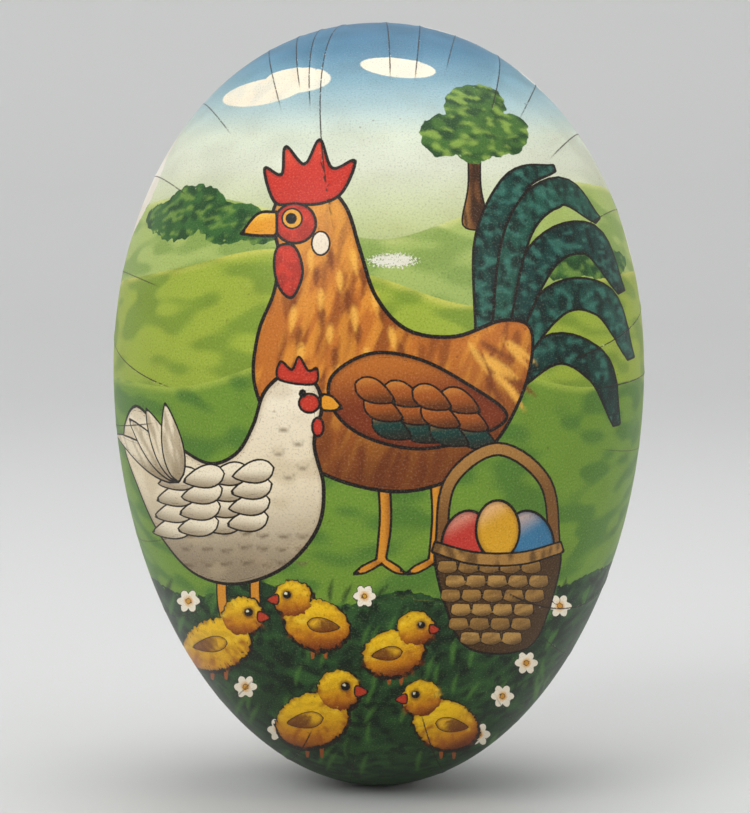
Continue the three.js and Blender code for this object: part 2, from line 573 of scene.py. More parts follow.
def print_country(picture):
    picture.lay(
        "#f4ead6",
        [oval(-24, 146, 9, 2.6, 12), oval(-17, 148.4, 7, 2.6, 4), oval(4, 151, 8, 2.0, -6)],
        blotch("#dfe0d4", 3, 0.5),
        soft=2.4,
    )
    for code, lit, dim, crest, foot in (
        ("#b4c478", "#dadc9a", "#8aa557", (116, 124, 121, 115, 121, 127, 118), 92),
        ("#a9b94c", "#d3d070", "#7f9a3c", (104, 109, 113, 107, 101, 106, 110), 74),
        ("#7f9f3f", "#b4c35a", "#55803a", (88, 84, 90, 95, 90, 84, 88), 30),
    ):
        top = [number for x, z in zip(range(-63, 64, 21), crest) for number in (x, z)]
        picture.lay(
            code,
            loop(run(*top), run(63, crest[-1], 60, foot, 0, foot - 12, -60, foot, -63, crest[0])),
            rim(lit, 2.0, 0.8),
            blotch(dim, (7, 3), 0.7, foot),
            side(dim, -90, -0.1, 0.9, 0.6),
            soft=1.3,
        )


def print_tree(picture, x, z, size):
    picture.lay(
        "#79522f",
        [
            smooth(x - 2.6 * size, z, x - 1.4 * size, z + 9 * size, x - 1.2 * size, z + 20 * size,
                   x + 1.2 * size, z + 20 * size, x + 1.6 * size, z + 9 * size, x + 3 * size, z),
        ],
        side("#b98a4f", 180, 0, 0.9, 0.8),
        hairs("#3f2717", 90, 5, 0.9, 0.8),
        line=0.5,
    )
    crown = [oval(x + across * size, z + up * size, wide * size, 0.8 * wide * size)
             for across, up, wide in ((-6.5, 21, 6.2), (6.5, 21, 6.4), (0, 27, 7.4), (0, 19, 5.4))]
    picture.lay(
        "#557c3c",
        crown,
        blotch("#2f5530", (2.6, 1.8), 0.9),
        blotch("#9db75a", (2.2, 1.2), 0.8, 5, 0.5),
        ragged=0.7,
    )


def print_bushes(picture, places):
    for x, z, size in places:
        picture.lay(
            "#48753f",
            [oval(x - 0.8 * size, z, size, 0.7 * size), oval(x + 0.8 * size, z, size, 0.66 * size),
             oval(x, z + 0.5 * size, size, 0.74 * size)],
            blotch("#2c5531", 2.2, 0.85),
            blotch("#8dab55", (1.8, 1.1), 0.7, 4, 0.5),
            ragged=0.6,
        )


def print_rooster(picture):
    """A plain brown rooster in profile, standing and facing left."""
    plumes = (
        ("#1d4a42", 6.4, (27, 84, 37, 92, 46, 88, 50, 76)),
        ("#27594f", 6.6, (27, 88, 37, 102, 47, 102, 53, 90)),
        ("#1f4d47", 6.8, (26, 91, 34, 111, 44, 115, 51, 104)),
        ("#2e6355", 6.4, (25, 94, 29, 117, 38, 125, 46, 119)),
        ("#23534a", 5.6, (22, 95, 23, 115, 29, 127, 37, 130)),
    )
    for code, width, line in plumes:
        picture.lay(
            code,
            stroke(width, *line, start=0.6, end=0.25),
            rim("#122824", 1.2, 0.9),
            blotch("#12201f", (1.2, 2.0), 0.7, width, 0.35),
            blotch("#5b9c8b", (1.8, 1.0), 0.5, width + 2, 0.5),
            line=0.7,
        )
    shins = [stroke(2.4, x, 66, x + 0.4, 56, x - 0.6, 47, start=1, end=0.8) for x in (1, 12)]
    toes = [stroke(1.6, x, 47.6, x + reach / 2, 46, x + reach, 44.6, start=0.8)
            for x in (0.6, 11.6) for reach in (-6, 5)]
    picture.lay("#d99a35", shins + toes, side("#9c5f17", 0, -0.1, 0.8, 0.7), line=0.6)
    picture.lay(
        "#c97f34",
        smooth(-21, 112, -22, 104, -25.4, 95, -26, 84, -20, 72, -10, 65, 4, 62, 16, 65, 25, 73, 31, 85, 32,
               96,
               26, 98, 16, 94.6, 6, 96, -0.6, 103, -4, 113, -7, 122, -12.6, 127, -19, 126, -22.4, 120),
        hairs("#8a4a1e", 80, 6, 1.2, 0.6, 6),
        hairs("#eba845", 70, 6, 1.1, 0.6, 8),
        side("#6d3716", -80, 0.1, 0.95, 0.85),
        side("#eab258", 100, 0.2, 0.95, 0.5),
        rim("#8a4e1c", 1.2, 0.5),
        line=0.9,
    )
    draws = np.random.default_rng(41)
    light, dark = [], []
    for row in range(8):
        for column in range(4):
            x = -19 + 0.5 * row + column * (4.4 + 0.5 * row) + draws.uniform(-0.6, 0.6)
            z = 113 - row * 4.0 + draws.uniform(-0.5, 0.5)
            feather = drop(x, z, draws.uniform(4.4, 6.2), 1.7, -98 + 6 * column)
            (light if (row + column) % 2 else dark).append(feather)
    saddle = [drop(draws.uniform(17, 29), draws.uniform(84, 94), 8, 1.5,
                   draws.uniform(-62, -30)) for _ in range(16)]
    picture.dab("#8a4c1d", dark + saddle[::2])
    picture.dab("#f3bd5b", light + saddle[1::2])
    breast = [crescent(draws.uniform(-23, -12), draws.uniform(70, 90), 1.6, 0.6, 100, 140) for _ in range(22)]
    picture.dab("#6b3414", breast)
    picture.lay(
        "#8a4420",
        smooth(-10, 86, -2, 91, 8, 90, 18, 85, 27, 78, 19, 73, 8, 71, -3, 73.6, -9.4, 79),
        side("#d58a3a", 100, -0.1, 0.9, 0.7),
        rim("#4f2410", 1.0, 0.7),
        line=0.8,
    )
    for row in (2, 1, 0):
        for feathers in ((3, 1), (2, 0)):
            picture.lay(
                "#1f4f48" if row == 2 else "#b0672a",
                [drop(-5 + 6 * k + row * 1.8, 85 - row * 3.8 - 0.7 * k, 9.4, 5.6, -26) for k in feathers],
                side("#3b2213", -80, -0.2, 0.9, 0.7),
                side("#e0a050", 100, 0.2, 0.9, 0.5),
                line=0.5,
            )
    picture.lay(
        "#cf3f2d",
        smooth(-22, 123, -24, 130, -20.4, 128.6, -19.6, 134.6, -15.6, 130.8, -12.4, 136, -9.8, 130, -5, 131.6,
               -7.6, 125, -12, 122.6, -18, 122.4),
        side("#ec6a4c", 110, 0, 0.9, 0.7),
        rim("#8a2a20", 0.9, 0.8),
        line=0.8,
    )
    picture.lay(
        "#d2452f",
        [oval(-17.6, 118.4, 4.4, 4.2), smooth(-21, 113.6, -17.6, 113.4, -16, 108, -18.2, 102.8, -21, 105,
                                              -22, 110)],
        blotch("#a63526", 1.6, 0.6),
        rim("#8a2a20", 0.8, 0.7),
        line=0.7,
    )
    picture.lay("#efe3cf", oval(-12.2, 114.2, 1.9, 2.5), line=0.5)
    picture.lay(
        "#e5a42e",
        loop(run(-21.4, 120.8, -25.4, 120.4, -29, 116.2), run(-29, 116.2, -25.4, 115.8, -21.4, 115.8)),
        side("#f7cf62", 100, 0, 0.9, 0.8),
        line=0.8,
    )
    picture.lay("#e8b04a", oval(-18.2, 119.4, 2.1, 2.1), line=0.5)
    picture.lay("#14100e", oval(-18.4, 119.4, 1.2, 1.2))


def print_hen(picture):
    """A plain white hen in profile, standing lower down and facing right."""
    picture.lay(
        "#d99a35",
        [stroke(2.0, x, 46, x, 40, x + 0.6, 35, start=1, end=0.8) for x in (-33, -26)],
        line=0.5,
    )
    picture.lay(
        "#e9dcc2",
        smooth(-51, 80, -44, 73, -36, 68, -30, 70, -26.4, 76, -24, 83, -19, 87, -13.6, 85, -12, 79.6, -13.6,
               72,
               -11.6, 63, -13, 54, -20, 46, -30, 42.6, -39, 45, -46, 53, -50.6, 63, -53.6, 73),
        side("#8e7d66", -80, 0.0, 0.9, 0.85),
        side("#fbf3e2", 100, 0.1, 0.9, 0.6),
        blotch("#c9b797", (5, 3), 0.4),
        rim("#a08c70", 1.2, 0.5),
        line=0.9,
    )
    draws = np.random.default_rng(43)
    ticks = [crescent(x + draws.uniform(-0.5, 0.5), z + draws.uniform(-0.4, 0.4), 1.5, 0.6, 90, 130)
             for x in range(-40, -14, 4) for z in range(48, 56, 3)]
    ticks += [crescent(x, z, 1.3, 0.55, 90, 130) for x,
              z in ((-20, 76), (-17, 73), (-21, 71), (-16, 68), (-19, 66))]
    picture.dab("#7a6952", ticks)
    for row in (3, 2, 1, 0):
        for feathers in ((3, 1), (2, 0)):
            picture.lay(
                "#f1e6cf",
                [drop(-22 - 5.2 * k - row * 0.4, 67 - row * 3.4 - 0.5 * k, 9, 5.4, 192) for k in feathers],
                side("#8b7759", -80, -0.2, 0.9, 0.75),
                line=0.5,
            )
    for angle in (142, 128, 114, 100):
        picture.lay(
            "#ece0c8",
            drop(-42, 64, 17, 5.0, angle),
            side("#8b7759", -60, 0, 0.9, 0.7),
            hairs("#a89677", angle, 6, 0.8, 0.6),
            line=0.6,
        )
    picture.lay(
        "#cb4632",
        [smooth(-21, 85.6, -20.6, 89.4, -18.2, 87.6, -16.8, 90.4, -14.8, 87.4, -13, 88, -13.6, 84.6),
         oval(-14.6, 80.6, 2.2, 2.0), oval(-12.8, 75.6, 1.2, 2.0)],
        rim("#8a2a20", 0.7, 0.7),
        line=0.6,
    )
    picture.lay(
        "#e3a230",
        loop(run(-12.2, 82.6, -9.8, 82, -7.6, 79.6), run(-7.6, 79.6, -9.8, 79, -12.2, 79.2)),
        line=0.6,
    )
    picture.lay("#15110f", oval(-16, 82.6, 0.9, 0.95))


def print_meadow(picture):
    picture.lay(
        "#2b4d2c",
        smooth(-54, 46, -40, 40, -26, 43, -10, 38, 6, 41, 22, 37, 38, 42, 54, 47, 48, 20, 24, -4, 0, -9, -24,
               -4,
               -48, 20),
        blotch("#416b38", (3.4, 2.4), 0.7, 3),
        blotch("#152a19", (2.2, 1.8), 0.85, 8, 0.45),
        ragged=0.6,
    )
    draws = np.random.default_rng(47)
    for code, count in (("#5d8a42", 90), ("#162c1a", 60)):
        picture.dab(
            code,
            [turned(stroke(0.9, 0, 0, 0.5, 2.2, 1.6, 4.4), draws.uniform(-46, 46), draws.uniform(2, 40),
                    draws.uniform(-20, 20)) for _ in range(count)],
            0.7,
        )
    blooms = [(-40, 39), (-28, 21), (-21, 12), (31, 26), (38, 38), (21, 11), (-3, 40), (26, 19)]
    petals = [oval(x + 1.5 * math.cos(turn), z + 1.5 * math.sin(turn), 1.0, 0.8, math.degrees(turn))
              for x, z in blooms for turn in np.linspace(0, math.tau, 6, endpoint=False)]
    picture.lay("#f3ead8", petals, line=0.25)
    picture.dab("#e5a82c", [oval(x, z, 0.9, 0.9) for x, z in blooms])


def print_basket(picture, left):
    """A round willow basket of dyed eggs. left is where its rim begins."""
    picture.lay(
        "#8a6234",
        stroke(2.6, left + 1, 50, left + 3, 64, left + 13, 71, left + 23, 64, left + 25, 50, start=0.9,
               end=0.9),
        side("#c29556", 100, -0.1, 0.9, 0.7),
        line=0.6,
    )
    for x, z, lean, code, shade in ((6, 52, 70, "#c9483c", "#7e2722"), (20, 52, 110, "#4c86a8", "#28546f"),
                                    (13, 54, 90, "#dfae2f", "#94651a")):
        picture.lay(
            code,
            oval(left + x, z, 6.2, 4.6, lean),
            side("#f0c9ae", 110, 0.2, 1.0, 0.6),
            rim(shade, 1.2, 0.7),
            line=0.7,
        )
    picture.lay(
        "#5a4022",
        smooth(left, 50, left + 8, 47.6, left + 18, 47.6, left + 26, 50, left + 24, 38, left + 19, 29,
               left + 7, 29,
               left + 2, 38),
        line=0.7,
    )
    for row in range(6):
        z = 46.4 - 3.0 * row
        inset = 0.4 + 0.22 * row**1.7
        slots = np.arange(left + inset + 1.4 * (row % 2), left + 25 - inset - 3.6, 4.4)
        picture.lay(
            "#c09a5c" if row % 2 else "#ae884c",
            [stroke(2.7, x, z, x + 2, z - 0.3, x + 4, z, start=0.75, end=0.75) for x in slots],
            side("#6b4f2a", -90, -0.1, 0.9, 0.9),
            hairs("#7b5d33", 5, 3, 0.6, 0.5),
            line=0.3,
        )
    picture.lay(
        "#b58c4f",
        stroke(2.6, left - 0.6, 50.4, left + 8, 48, left + 18, 48, left + 26.6, 50.4, start=0.9, end=0.9),
        blotch("#6b4f2a", (1.4, 3), 0.8),
        line=0.6,
    )


CHICK_YELLOW = "#dfae0c"
CHICK_SHADE = "#7c3a06"


def print_chick(picture, body, head, beak, eye, wing):
    """A chick: ovals for body and head as (x, z, across, up, lean), then beak, eye and wing."""
    fluffy = {"ragged": 0.5, "grain": 0.55}
    picture.lay("#2a1c10", [oval(x + 0.15, z - 0.3, across + 0.55, up + 0.5, lean)
                            for x, z, across, up, lean in (body, head)], soft=1.6, **fluffy)
    draws = np.random.default_rng(int(abs(body[0]) * 10))
    for part in (body, head):
        x, z, across, up, lean = part
        picture.lay(
            CHICK_YELLOW,
            oval(*part),
            side("#c97a0c", -75, -0.3, 0.6, 0.7),
            side(CHICK_SHADE, -75, 0.3, 1.0, 0.95),
            side("#f6cf22", 110, -0.1, 0.8, 0.85),
            hairs(CHICK_SHADE, lean + 20, 2.6, 0.55, 0.18, x),
            rim(CHICK_SHADE, 0.8, 0.5),
            **fluffy,
        )
        lit, dim = [], []
        for _ in range(int(across * up * 0.5) + 6):
            turn, reach = draws.uniform(0, 2 * math.pi), math.sqrt(draws.uniform(0.05, 0.8))
            spot_x, spot_z = across * reach * math.cos(turn), up * reach * math.sin(turn)
            out_x, out_z = 0.7 * math.cos(turn), 0.7 * math.sin(turn) - 0.5
            hair = stroke(0.75, spot_x, spot_z, spot_x + out_x, spot_z + out_z, spot_x + 2 * out_x,
                          spot_z + 1.7 * out_z)
            (lit if math.sin(turn) > 0.1 else dim).append(turned(hair, x, z, lean))
        picture.dab("#f9dd55", lit, 0.45)
        picture.dab("#a4560c", dim, 0.5)
    x, z, size, angle = wing
    picture.lay("#e6b928", drop(x, z, size, size * 0.48, angle), side(CHICK_SHADE, -80, -0.3, 0.9, 0.9),
                rim("#7a3f0c", 0.8, 0.8), line=0.3)
    feathers = [turned(stroke(0.8, size * 0.3, k * size * 0.07, size * 0.6, k * size * 0.1,
                              size * 0.95, k * size * 0.05), x, z, angle) for k in (-1, 0, 1)]
    picture.dab("#7a430e", feathers)
    picture.lay("#c04a2c", beak, rim("#7a2a1c", 0.5, 0.6), line=0.45)
    x, z, size = eye
    picture.dab("#7a4a12", oval(x, z, size * 1.5, size * 1.4))
    picture.lay("#120e0b", oval(x, z, size * 1.1, size))
    picture.lay("#e9e2c4", oval(x - 0.3 * size, z + 0.35 * size, 0.4, 0.36))


def print_chicks(picture, places):
    """Chicks at x, z, with a size and which way each faces, 1 for right and -1 for left."""
    for x, z, size, way in places:
        legs = [stroke(0.9, x + step * size, z - 4 * size, x + step * size, z - 8 * size,
                       end=0.6) for step in (-1, 2)]
        picture.lay("#a8642a", legs)
        head_x, head_z = x + 5.6 * size * way, z + 6.2 * size
        beak = smooth(head_x + 3.6 * size * way, head_z + 1.0 * size, head_x + 6.2 * size * way,
                      head_z - 0.4 * size,
                      head_x + 3.6 * size * way, head_z - 1.4 * size)
        print_chick(
            picture,
            (x, z, 7.6 * size, 5.6 * size, 14 * way),
            (head_x, head_z, 4.4 * size, 4.2 * size, 0),
            beak,
            (head_x + 1.4 * size * way, head_z + 0.8 * size, 0.9 * size),
            (x + 2.4 * size * way, z + 0.4 * size, 8 * size, 188 if way > 0 else -8),
        )


def print_front(picture, heights):
    print_ground(
        picture,
        heights,
        ((0, "#5f6f4b"), (40, "#4d6a3f"), (90, "#7f9a4a"), (118, "#c6cd9a"), (130, "#dde0cd"),
         (136, "#d6dccb"),
         (142, "#b3c9cb"), (147, "#8db0bd"), (153, "#5f8fa9"), (160, "#4a7c9a")),
    )
    print_country(picture)
    print_tree(picture, 20, 118, 0.9)
    print_bushes(picture, ((-38, 119, 6), (-29, 117, 4.4), (43, 110, 5)))
    print_rooster(picture)
    print_meadow(picture)
    print_hen(picture)
    print_basket(picture, 12)
    print_chicks(picture, ((-34, 30, 0.95, 1), (-13, 34, 0.9, -1), (3, 28, 0.85, 1), (-14, 14, 1.0, 1),
                           (14, 13, 0.9, -1)))


# ---------------------------------------------------------------- the back picture


def print_farm(picture):
    picture.lay(
        "#a9bd62",
        smooth(-60, 122, -40, 127, -20, 124, 0, 128, 22, 131, 40, 126, 60, 118, 62, 90, 0, 84, -62, 90),
        rim("#d8d982", 1.8),
        blotch("#84a64a", (7, 3), 0.6),
        side("#86a03f", -90, -0.2, 0.9, 0.7),
        soft=1.5,
    )
    picture.lay(
        "#efe3c6",
        sharp(-22, 118, 8, 118, 8, 130, -22, 131),
        side("#c9b48f", 0, 0, 0.9, 0.7),
        blotch("#d9c8a4", 3, 0.6),
        line=0.5,
    )
    picture.lay(
        "#d4553d",
        sharp(-26, 130, 11, 129, 5, 140, -20, 142),
        hairs("#a53a2a", 4, 6, 0.9, 0.8),
        side("#ee8f75", 90, 0, 0.9, 0.6),
        line=0.6,
    )
    picture.lay("#6a4a32", [sharp(-10, 118.4, -5, 118.4, -5, 126.4, -10, 126.4)], line=0.4)
    picture.lay(
        "#7fa0b0",
        [sharp(x, 122, x + 4, 122, x + 4, 126.4, x, 126.4) for x in (-18.6, -1.4, 3.6)],
        line=0.5,
    )
    picture.lay("#b86a4c", [sharp(-14, 141, -10.6, 141, -10.6, 146, -14, 146)], line=0.4)
    picture.lay(
        "#6b4a2e",
        [smooth(27, 112, 28.4, 124, 27.6, 134, 30, 140, 32.4, 134, 32, 124, 33.6, 112),
         stroke(1.4, 30, 132, 34, 138, 39, 141), stroke(1.2, 29.6, 136, 26, 140, 22.6, 142)],
        side("#b98a4f", 0, 0, 0.9, 0.8),
        hairs("#3f2717", 90, 5, 0.9, 0.8),
        line=0.4,
    )
    picture.lay(
        "#5d8043",
        smooth(14, 140, 18, 147, 25, 150.6, 33, 150, 41, 146, 46, 139, 44, 133, 38, 134, 33, 137, 27, 135,
               20, 135),
        blotch("#35582f", (3, 2), 0.9),
        blotch("#a2b85e", (2.4, 1.2), 0.8, 5, 0.5),
        ragged=0.6,
    )
    picture.lay(
        "#4f7f45",
        [smooth(-56, 112, -50, 118, -42, 121, -34, 118, -27, 116, -24, 110, -40, 107),
         smooth(40, 112, 46, 117, 54, 114, 58, 106, 46, 106)],
        blotch("#2f5a34", 2.6, 0.8),
        rim("#8fae5a", 1.2),
        ragged=0.6,
    )
    posts = [sharp(x, 96, x + 2, 96, x + 2.4, 108, x + 0.4, 108) for x in range(-52, 56, 9)]
    rails = [stroke(1.5, -58, z, -20, z + 1.2, 20, z + 1.4, 58, z - 0.6, start=1, end=1) for z in (100,
                                                                                                   104.6)]
    picture.lay("#caa874", rails, hairs("#8a6a42", 2, 5, 0.7, 0.8), line=0.4)
    picture.lay("#d8b983", posts, side("#8f6d43", 0, 0, 0.9, 0.8), line=0.5)


def print_goose(picture):
    picture.lay(
        "#e8a02c",
        [smooth(-9, 44, -5, 41, -1, 42.4, 3, 40.6, 1, 45, -3, 46.6, -6, 52),
         smooth(9, 46, 13, 43, 17, 44, 20, 42.6, 18, 47, 13, 49, 11, 54)],
        side("#b8641c", -90, 0, 0.9, 0.8),
        line=0.8,
    )
    picture.lay(
        "#efe6d4",
        smooth(-26, 124, -22, 128.4, -16, 128, -12.6, 123, -12.4, 116, -10, 108, -4, 100, 6, 95.4, 18, 91,
               30, 88,
               42, 91, 48, 95.6, 45, 86, 38, 74, 30, 62, 18, 53, 4, 49.4, -8, 52, -18, 60, -23.4, 72, -23,
               86, -21,
               100, -23.6, 110, -27, 117),
        side("#a9a08f", -70, 0.1, 0.95, 0.75),
        side("#fbf6ea", 110, 0.1, 0.9, 0.6),
        blotch("#d6ccb8", (5, 3), 0.4),
        line=1.1,
    )
    for row in range(5):
        picture.lay(
            "#f3ebda",
            [drop(8 + 5.4 * k - row * 1.2, 83 - row * 5.4 + 1.2 * k, 13, 5.4, -24 + 4 * k) for k in range(5)],
            side("#a3a49e", -80, -0.3, 0.95, 0.8),
            line=0.6,
        )
    marks = np.random.default_rng(11)
    picture.dab(
        "#8d8674",
        [crescent(marks.uniform(-19, 0), marks.uniform(60, 96), 1.5, 0.6, 250, 130) for _ in range(26)],
    )
    picture.lay(
        "#e9992a",
        loop(run(-25, 120, -30, 120.4, -36, 118, -39.4, 115),
             run(-39.4, 115, -33, 114.6, -27, 115.2, -25, 117)),
        side("#f6c552", 90, 0, 0.9, 0.8),
        line=0.9,
    )
    picture.lay("#8a4a1c", [stroke(0.8, -26, 117.4, -31, 117.2, -36.4, 115.8)])
    picture.lay("#15110f", oval(-20.4, 121, 1.8, 2.1))
    picture.lay("#f7f2e4", oval(-21, 121.9, 0.6, 0.6))


def print_back(picture, heights):
    print_ground(
        picture,
        heights,
        ((0, "#5f6f4b"), (36, "#4d6a3f"), (80, "#8aa84c"), (112, "#b9c466"), (124, "#dfe0c0"),
         (134, "#cfdcd6"),
         (145, "#9dc0cb"), (153, "#6f9fb6"), (160, "#5d8da8")),
    )
    picture.lay(
        "#f4ead6",
        [smooth(-40, 138, -32, 143, -24, 142.6, -22, 139.6, -30, 136.6),
         smooth(6, 151, 14, 154, 20, 151.6, 12, 149)],
        blotch("#dfe0d4", 3, 0.5),
        soft=2.4,
    )
    print_farm(picture)
    print_goose(picture)
    print_meadow(picture)
    print_basket(picture, -38)
    print_chicks(picture, ((-8, 26, 0.95, 1), (12, 36, 0.9, -1), (30, 30, 0.9, 1), (8, 12, 1.0, -1)))


# ---------------------------------------------------------------- folds and wear of the pressed paper


def rim_distance(flat):
    """The way over the paper from each flat place to the half's rim, in millimetres."""
    reach = reach_to_outline(flat[:, 0], flat[:, 1]) * math.pi / 2 / MM
    return reach - np.hypot(flat[:, 0], flat[:, 1])


def turn_of(flat):
    return np.arctan2(flat[:, 1], flat[:, 0])


class Folds:
    """The folds of the pressed sheet, each from the rim inwards as it is seen: x, z, x, z, depth."""

    def __init__(self, rows):
        rows = np.asarray(rows, float)
        outer, inner = seen_to_flat(rows[:, 0:2]), seen_to_flat(rows[:, 2:4])
        order = np.argsort(turn_of(outer))
        outer, inner = outer[order], inner[order]
        self.depth = rows[order, 4]
        self.start = turn_of(outer)
        self.swing = (turn_of(inner) - self.start + math.pi) % (2 * math.pi) - math.pi
        self.near, self.far = rim_distance(outer), rim_distance(inner)

    def read(self, flat):
        """Signed distance to the nearest fold, in millimetres, and how deep that fold is there."""
        inwards = rim_distance(flat)[:, None]
        share = (inwards - self.near) / np.maximum(self.far - self.near, 1.0)
        turn = self.start + self.swing * np.clip(share, -0.5, 1.2)
        apart = (turn_of(flat)[:, None] - turn + math.pi) % (2 * math.pi) - math.pi
        apart *= np.hypot(flat[:, 0], flat[:, 1])[:, None]
        rows = np.arange(len(flat))
        nearest = np.abs(apart).argmin(1)
        flips = np.where(nearest % 2 == 0, 1, -1)
        fading = self.depth[nearest] * (1 - ease(0.75, 1.1, share[rows, nearest]))
        return apart[rows, nearest] * flips, fading


FRONT_FOLDS = (
    (54, 98, 41, 90, 0.9), (56, 88, 45, 83.6, 0.7), (56, 72, 46, 71, 0.3), (50, 46, 24, 42.6, 0.8),
    (42, 28, 33, 33, 0.4), (30, 14, 24, 20, 0.3), (12, 6, 9, 15, 0.7), (-6, 1, -5, 8, 0.4),
    (-18, 6, -14, 12, 0.7), (-32, 18, -26, 23, 0.3), (-43, 36, -36, 38, 0.4), (-50, 52, -42, 53, 0.3),
    (-55, 76, -47, 76.4, 0.5), (-55, 92, -44, 84, 0.8), (-53, 108, -46, 105, 0.4), (-46, 128, -40, 124, 0.4),
    (-36, 143, -31, 137, 0.4), (-23, 154, -20.4, 142, 0.5), (-17, 157, -16.6, 147, 0.9),
    (-12.6, 158.6, -14.4, 143, 0.9),
    (-8.6, 159.4, -9.6, 118, 1.0), (1.7, 160, 2.4, 149, 0.8), (8.6, 159.6, 7.6, 148.6, 0.8),
    (16, 157.6, 14, 150, 0.4),
    (25, 153.4, 23.6, 142, 0.9), (33, 147.6, 29.4, 140, 0.5), (41.6, 137, 36, 132, 0.5),
    (49, 121, 42, 117, 0.4),
)


# Where the rim is worn to bare paper: an angle in degrees, its spread and the extra width in mm.
FRONT_WORN = ((141, 11, 15), (27, 9, 7), (62, 6, 7), (80, 8, 6), (100, 5, 4), (219, 9, 6), (4, 8, 3))
BACK_WORN = ((60, 8, 4), (120, 12, 3), (230, 9, 4))
# Where the varnish is scuffed: the middle's x and z and how far it reaches each way, in mm.
FRONT_SCUFF = (3, 110.6, 11, 3.4)
BACK_SCUFF = (-30, 70, 6, 4)
BACK_FOLDS, BACK_SEED = 28, 4


def even_folds(count, seed):
    """Folds spread round the rim of a half, as a press leaves them."""
    draws = np.random.default_rng(seed)
    rows = []
    for k in range(count):
        turn = 2 * math.pi * (k + draws.uniform(-0.28, 0.28)) / count
        reach = reach_to_outline(np.cos(turn), np.sin(turn)) / MM
        inwards = draws.uniform(0.78, 0.95)
        lean = turn + draws.uniform(-0.05, 0.05)
        middle = WIDEST / MM
        rows.append((0.985 * reach * math.cos(turn), middle + 0.985 * reach * math.sin(turn),
                     inwards * reach * math.cos(lean), middle + inwards * reach * math.sin(lean),
                     draws.uniform(0.2, 0.9)))
    return tuple(rows)


def wear_width(flat, places):
    """How wide the bare paper is along the rim. Each place is its angle, its spread and its width."""
    turn = np.degrees(turn_of(flat))
    width = 0.4 + 0.8 * cloudiness(flat, (5.0, 5.0), 2.0)
    width += 1.3 * (cloudiness(flat, (1.6, 1.6), 7.0) - 0.5)
    for angle, spread, extra in places:
        apart = (turn - angle + 180) % 360 - 180
        width += extra * np.exp(-((apart / spread) ** 2))
    return width


# ---------------------------------------------------------------- finishes

INK = (*tint("#261c17"), 1.0)


class Wire:
    """A value in a material, used in plain expressions."""

    def __init__(self, finish, socket):
        self.finish = finish
        self.socket = socket

    def math(self, operation, *values):
        return self.finish.node("ShaderNodeMath", {"operation": operation}, dict(enumerate(values)))

    def __add__(self, other):
        return self.math("ADD", self, other)

    def __radd__(self, other):
        return self.math("ADD", other, self)

    def __sub__(self, other):
        return self.math("SUBTRACT", self, other)

    def __rsub__(self, other):
        return self.math("SUBTRACT", other, self)

    def __mul__(self, other):
        return self.math("MULTIPLY", self, other)

    def __rmul__(self, other):
        return self.math("MULTIPLY", other, self)

    def __truediv__(self, other):
        return self.math("DIVIDE", self, other)

    def __rtruediv__(self, other):
        return self.math("DIVIDE", other, self)

    def __abs__(self):
        return self.math("ABSOLUTE", self)

    def clamp(self):
        return self.finish.node("ShaderNodeClamp", {}, {"Value": self, "Min": 0.0, "Max": 1.0})

    def ease(self, low, high):
        """From 0 at low to 1 at high, softly."""
        return self.finish.node(
            "ShaderNodeMapRange",
            {"interpolation_type": "SMOOTHSTEP"},
            {"Value": self, "From Min": low, "From Max": high},
        )

    def other(self, name):
        """Another output of the node this value comes from."""
        return Wire(self.finish, self.socket.node.outputs[name])


class Finish:
    """A material while it is made."""

    def __init__(self, name):
        self.material = bpy.data.materials.new(name)
        self.material.use_nodes = True
        self.tree = self.material.node_tree
        self.tree.nodes.clear()

    def node(self, kind, settings, inputs, output=0):
        """Adds a node: first its settings, then its inputs as values or wires. Gives one output."""
        made = self.tree.nodes.new(kind)
        for key, value in settings.items():
            setattr(made, key, value)
        for key, value in inputs.items():
            if isinstance(value, Wire):
                self.tree.links.new(value.socket, made.inputs[key])
            else:
                made.inputs[key].default_value = value
        return Wire(self, made.outputs[output]) if made.outputs else None

    def attribute(self, name, output="Fac"):
        return self.node("ShaderNodeAttribute", {"attribute_name": name}, {}, output)

    def place(self):
        """Object coordinates, in millimetres."""
        spot = self.node("ShaderNodeTexCoord", {}, {}, "Object")
        return self.scaled(spot, (1 / MM,) * 3)

    def scaled(self, spot, sizes):
        return self.node("ShaderNodeVectorMath", {"operation": "MULTIPLY"}, {0: spot, 1: sizes})

    def noise(self, spot, scale, detail=2.0, roughness=0.5, distortion=0.0):
        return self.node(
            "ShaderNodeTexNoise",
            {"noise_dimensions": "3D"},
            {"Vector": spot, "Scale": scale, "Detail": detail, "Roughness": roughness,
             "Distortion": distortion},
        )

    def mix(self, share, first, second, blend="MIX"):
        return self.node(
            "ShaderNodeMix",
            {"data_type": "RGBA", "blend_type": blend},
            {0: share, 6: first, 7: second},
            2,
        )

    def bump(self, height, distance, strength=1.0, normal=None):
        inputs = {"Height": height, "Distance": distance, "Strength": strength}
        if normal is not None:
            inputs["Normal"] = normal
        return self.node("ShaderNodeBump", {}, inputs)

    def done(self, **inputs):
        """Ends in a Principled shader and gives the material."""
        names = {key.replace("_", " "): value for key, value in inputs.items()}
        shader = self.node("ShaderNodeBsdfPrincipled", {}, names)
        self.node("ShaderNodeOutputMaterial", {}, {"Surface": shader})
        return self.material


def rgba(colour):
    return (*colour, 1.0)


